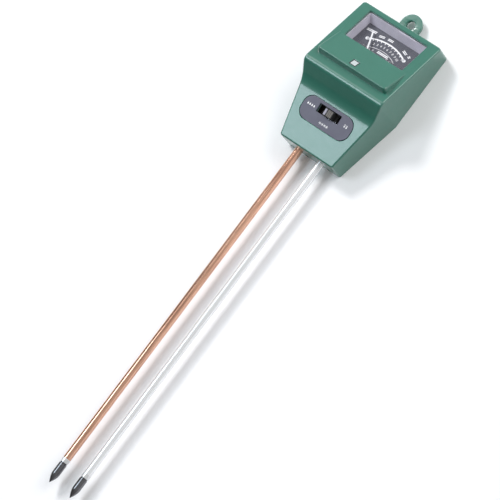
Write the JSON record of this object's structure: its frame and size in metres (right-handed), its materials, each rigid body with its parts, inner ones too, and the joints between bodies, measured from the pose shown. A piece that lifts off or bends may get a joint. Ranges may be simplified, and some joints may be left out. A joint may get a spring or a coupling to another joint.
{
  "type": "soil moisture meter",
  "caption": "Hand-held soil meter with a wedge-shaped green head, a needle dial, a slide switch, a hanging loop and twin metal probes.",
  "frame": {"origin": "centre of the flat back face of the head", "axes": "+Z out of the back towards the dial, +Y along the probes from their tips towards the hanging loop, +X to the right seen from the front"},
  "size_m": [0.05, 0.2923, 0.0287],
  "materials": {
    "green_housing": "satin moulded plastic",
    "green_cover": "satin moulded plastic",
    "grey_surround": "smooth moulded plastic",
    "clear_window": "clear moulded plastic",
    "clear_sensor": "clear moulded plastic",
    "photocell": "dark glossy cell",
    "dial_print": "matt dark grey paint with white marks",
    "steel_screw": "plated",
    "nylon_frame": "moulded nylon",
    "iron_ring": "plated soft iron",
    "magnet": "sintered magnet",
    "brass_part": "stamped",
    "steel_part": "bright",
    "bronze_spring": "phosphor bronze strip",
    "copper_coil": "enamelled copper winding",
    "white_needle": "white paint",
    "grey_plate": "printed grey plastic",
    "black_knob": "moulded plastic",
    "brown_base": "dark brown phenolic",
    "tinned_tag": "tinned",
    "green_board": "fibre board with a green coating",
    "resistor_body": "lacquered",
    "copper_tube": "drawn copper tube",
    "zinc_tube": "bright drawn tube",
    "dark_tip": "dark polished plating",
    "red_wire": "wire insulation",
    "black_wire": "wire insulation",
    "yellow_wire": "wire insulation",
    "white_wire": "wire insulation"
  },
  "bodies": {
    "body": {"front_housing": "green_housing", "back_cover": "green_cover", "dial_surround": "grey_surround", "dial_window": "clear_window", "sensor_window": "clear_sensor", "photocell": "photocell", "dial_plate": "dial_print", "dial_screws": "steel_screw", "needle_stops": "steel_part", "movement_frame": "nylon_frame", "movement_screws": "steel_screw", "yoke_ring": "iron_ring", "core_magnet": "magnet", "front_bridge": "brass_part", "back_bridge": "brass_part", "bridge_screws": "steel_screw", "front_jewel_screw": "brass_part", "back_jewel_screw": "brass_part", "front_spring_arm": "steel_part", "back_spring_arm": "steel_part", "front_hairspring": "bronze_spring", "back_hairspring": "bronze_spring", "switch_plate": "grey_plate", "switch_case": "steel_part", "switch_base": "brown_base", "switch_terminals": "tinned_tag", "circuit_board": "green_board", "board_screws": "steel_screw", "resistors": "resistor_body", "copper_probe": "copper_tube", "zinc_probe": "zinc_tube", "copper_probe_tip": "dark_tip", "zinc_probe_tip": "dark_tip", "copper_probe_tag": "tinned_tag", "zinc_probe_tag": "tinned_tag", "copper_probe_lead": "red_wire", "zinc_probe_lead": "black_wire", "meter_lead_plus": "red_wire", "meter_lead_minus": "black_wire", "cell_lead_plus": "yellow_wire", "cell_lead_minus": "white_wire"},
    "needle_assembly": {"moving_coil": "copper_coil", "coil_pivots": "steel_part", "needle": "white_needle", "counterweight": "brass_part"},
    "switch_slider": {"switch_knob": "black_knob", "switch_contacts": "brass_part"}
  },
  "joints": [
    {"name": "needle_swing", "type": "hinge", "parent": "body", "child": "needle_assembly", "pos_m": [0, 0.00592, 0.01516], "axis": [0, -0.356, -0.9345], "range_deg": [-5, 57], "stiffness_Nm_per_rad": 0.00002, "deforming": ["front_hairspring", "back_hairspring"]},
    {"name": "switch_slide", "type": "slide", "parent": "body", "child": "switch_slider", "axis": [1, 0, 0], "range_m": [-0.0038, 0.0038]}
  ]
}
